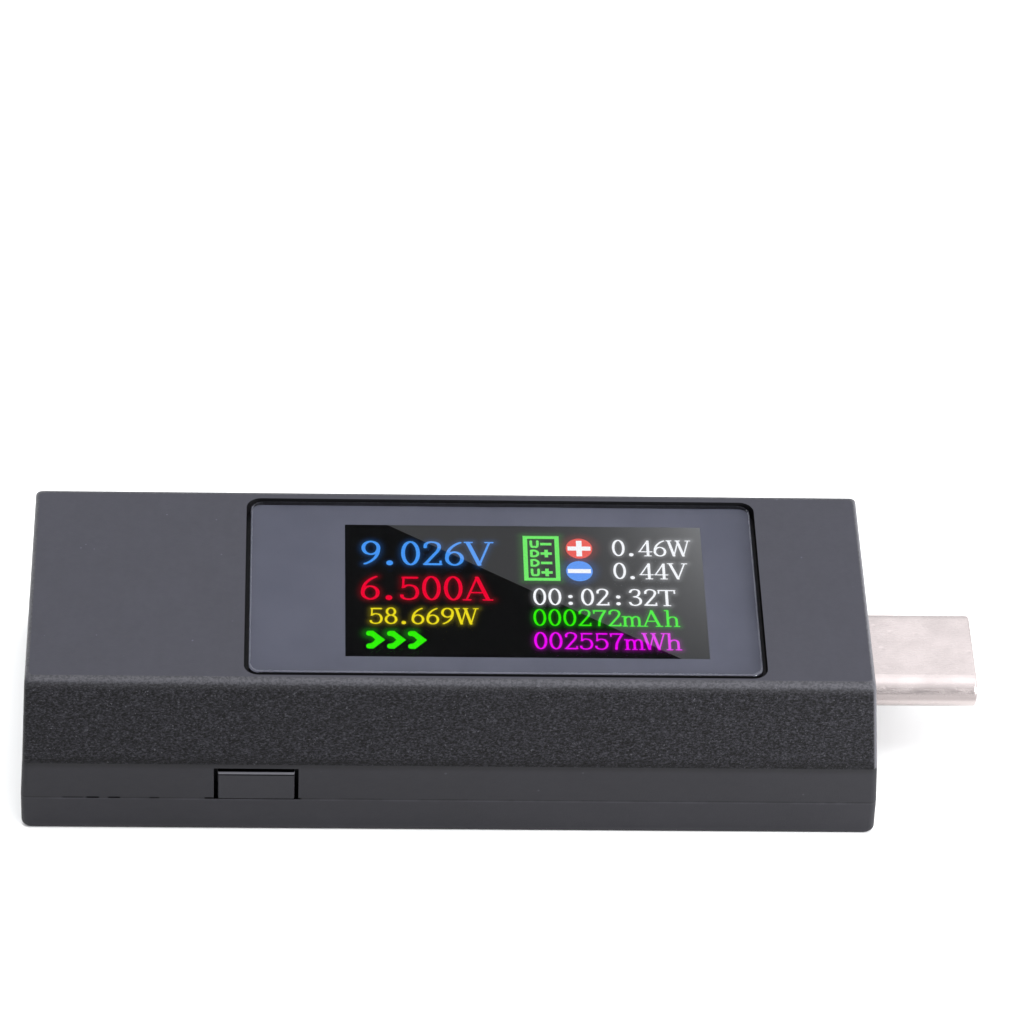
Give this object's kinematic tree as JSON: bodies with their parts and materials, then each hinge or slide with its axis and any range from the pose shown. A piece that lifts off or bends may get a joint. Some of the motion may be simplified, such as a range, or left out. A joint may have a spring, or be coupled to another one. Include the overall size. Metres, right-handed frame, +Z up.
{
  "type": "usb power meter",
  "caption": "Plug-in USB-C tester: a slim two-shell casing with a plug at one end, a receptacle at the other, a colour display under a flush window and a side button.",
  "frame": {"origin": "bottom centre of the whole object, plug included: the middle of its length and width, on the underside", "axes": "+X towards the plug, -Y towards the wall with the button, +Z up out of the display"},
  "size_m": [0.064, 0.0224, 0.012],
  "materials": {
    "case_plastic": "dark grey moulded plastic, fine spark texture on the leaning long walls",
    "button_plastic": "dark grey moulded plastic, satin",
    "window_plate": "clear acrylic plate, blue-grey ink on its underside round the display",
    "display_glass": "black liquid-crystal panel",
    "black_tape": "black adhesive tape",
    "silicon": "polished die",
    "ribbon_film": "amber polyimide film",
    "white_plastic": "white moulded plastic",
    "clear_plastic": "clear light guide",
    "foam": "soft black foam",
    "black_plastic": "black moulded plastic",
    "spring_steel": "stamped sheet",
    "nickel_plate": "satin nickel plate with fine scratches",
    "gold_plate": "gold plate",
    "circuit_board": "green solder mask",
    "chip_package": "moulded package",
    "ferrite": "pressed metal powder",
    "capacitor_ceramic": "tan ceramic with tin caps",
    "resistor_ceramic": "black ceramic with tin caps"
  },
  "bodies": {
    "case": {"upper_case": "case_plastic", "lower_case": "case_plastic", "display_window": "window_plate", "window_tape_left": "black_tape", "window_tape_right": "black_tape", "lcd_panel": "display_glass", "lcd_driver_chip": "silicon", "lcd_ribbon": "ribbon_film", "backlight_frame": "white_plastic", "backlight_light_guide": "clear_plastic", "lcd_foam_left": "foam", "lcd_foam_right": "foam", "switch_housing": "black_plastic", "switch_cover": "spring_steel", "switch_dome": "spring_steel", "plug_shell": "nickel_plate", "plug_insulator": "black_plastic", "plug_contacts_upper": "gold_plate", "plug_contacts_lower": "gold_plate", "plug_latch": "spring_steel", "receptacle_shell": "nickel_plate", "receptacle_tongue": "black_plastic", "receptacle_contacts_upper": "gold_plate", "receptacle_contacts_lower": "gold_plate", "receptacle_middle_plate": "spring_steel", "main_board": "circuit_board", "microcontroller": "chip_package", "crystal": "spring_steel", "memory_chip": "chip_package", "power_inductor": "ferrite", "voltage_regulator": "chip_package", "current_monitor": "chip_package", "shunt_resistor": "spring_steel", "protection_diode": "chip_package", "input_capacitor": "capacitor_ceramic", "output_capacitor": "capacitor_ceramic", "capacitor_1": "capacitor_ceramic", "capacitor_2": "capacitor_ceramic", "capacitor_3": "capacitor_ceramic", "capacitor_4": "capacitor_ceramic", "resistor_1": "resistor_ceramic", "resistor_2": "resistor_ceramic", "resistor_3": "resistor_ceramic", "resistor_4": "resistor_ceramic", "resistor_5": "resistor_ceramic", "resistor_6": "resistor_ceramic"},
    "button": {"side_button": "button_plastic"},
    "plunger": {"switch_plunger": "black_plastic"}
  },
  "joints": [
    {"name": "button_press", "type": "slide", "parent": "case", "child": "button", "axis": [0, 1, 0], "range_m": [0, 0.00025], "stiffness_N_per_m": 4000, "springref_m": -0.0001},
    {"name": "plunger_press", "type": "slide", "parent": "case", "child": "plunger", "axis": [0, 1, 0], "range_m": [0, 0.00025], "deforming": ["switch_dome"]}
  ],
  "couplings": [
    {"joint": "plunger_press", "follows": "button_press", "ratio": 1}
  ]
}
